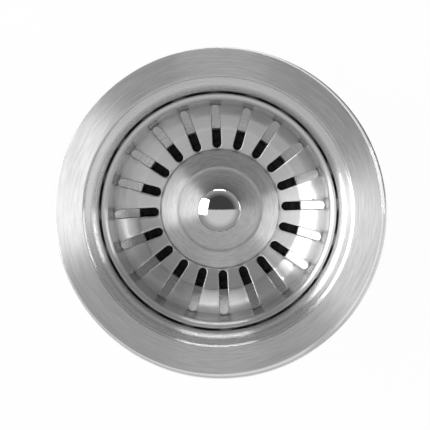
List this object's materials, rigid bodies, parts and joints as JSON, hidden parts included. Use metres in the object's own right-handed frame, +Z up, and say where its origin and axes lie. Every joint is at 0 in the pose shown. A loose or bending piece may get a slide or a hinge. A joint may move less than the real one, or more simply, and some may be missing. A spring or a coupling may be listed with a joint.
{
  "type": "sink basket strainer",
  "caption": "Stainless kitchen sink basket strainer: wide brushed flange and bowl, lift-out slotted basket with a polished knob, rubber stopper, threaded outlet and lugged locknut.",
  "frame": {"origin": "on the strainer's axis, at the lower end of the outlet", "axes": "+Z up along the strainer's axis, towards the flange; the lugs of the nut start on +X"},
  "size_m": [0.1142, 0.1142, 0.0624],
  "materials": {
    "flange_steel": "concentric brushed stainless steel",
    "basket_steel": "pressed stainless steel, fine brushed dome and polished wall",
    "outlet_steel": "plain drawn stainless steel",
    "hardware_steel": "bright plain steel",
    "spring_steel": "dark spring steel",
    "knob_chrome": "mirror polished chrome",
    "nut_brass": "plain machined brass",
    "cast_nut": "dull die cast zinc",
    "stopper_rubber": "smooth black rubber",
    "gasket_rubber": "matt black rubber",
    "flange_foam": "pale closed cell foam rubber",
    "fibre": "brown pressed fibre"
  },
  "bodies": {
    "drain_body": {"strainer_body": "flange_steel", "outlet_spigot": "outlet_steel", "crossbar": "outlet_steel", "flange_gasket": "flange_foam"},
    "basket": {"basket_shell": "basket_steel", "knob": "knob_chrome", "knob_washer": "hardware_steel", "post": "hardware_steel", "spacer_sleeve": "hardware_steel", "seal_backing_plate": "hardware_steel", "rubber_seal": "stopper_rubber", "seal_washer": "hardware_steel", "lock_washer": "hardware_steel", "post_nut": "nut_brass", "spring_clip": "spring_steel", "clip_screw": "hardware_steel"},
    "clamp_rings": {"sink_gasket": "gasket_rubber", "friction_ring": "fibre"},
    "locknut": {"locknut": "cast_nut"}
  },
  "joints": [
    {"name": "basket_lift", "type": "slide", "parent": "drain_body", "child": "basket", "axis": [0, 0, 1], "range_m": [0, 0.065], "deforming": ["spring_clip"]},
    {"name": "clamp_travel", "type": "slide", "parent": "drain_body", "child": "clamp_rings", "axis": [0, 0, 1], "range_m": [-0.003, 0.004]},
    {"name": "locknut_turn", "type": "hinge", "parent": "clamp_rings", "child": "locknut", "pos_m": [0, 0, 0.045], "axis": [0, 0, 1], "range_deg": [-540, 720]}
  ],
  "couplings": [
    {"joint": "clamp_travel", "follows": "locknut_turn", "m_per_rad": 0.00031831}
  ]
}
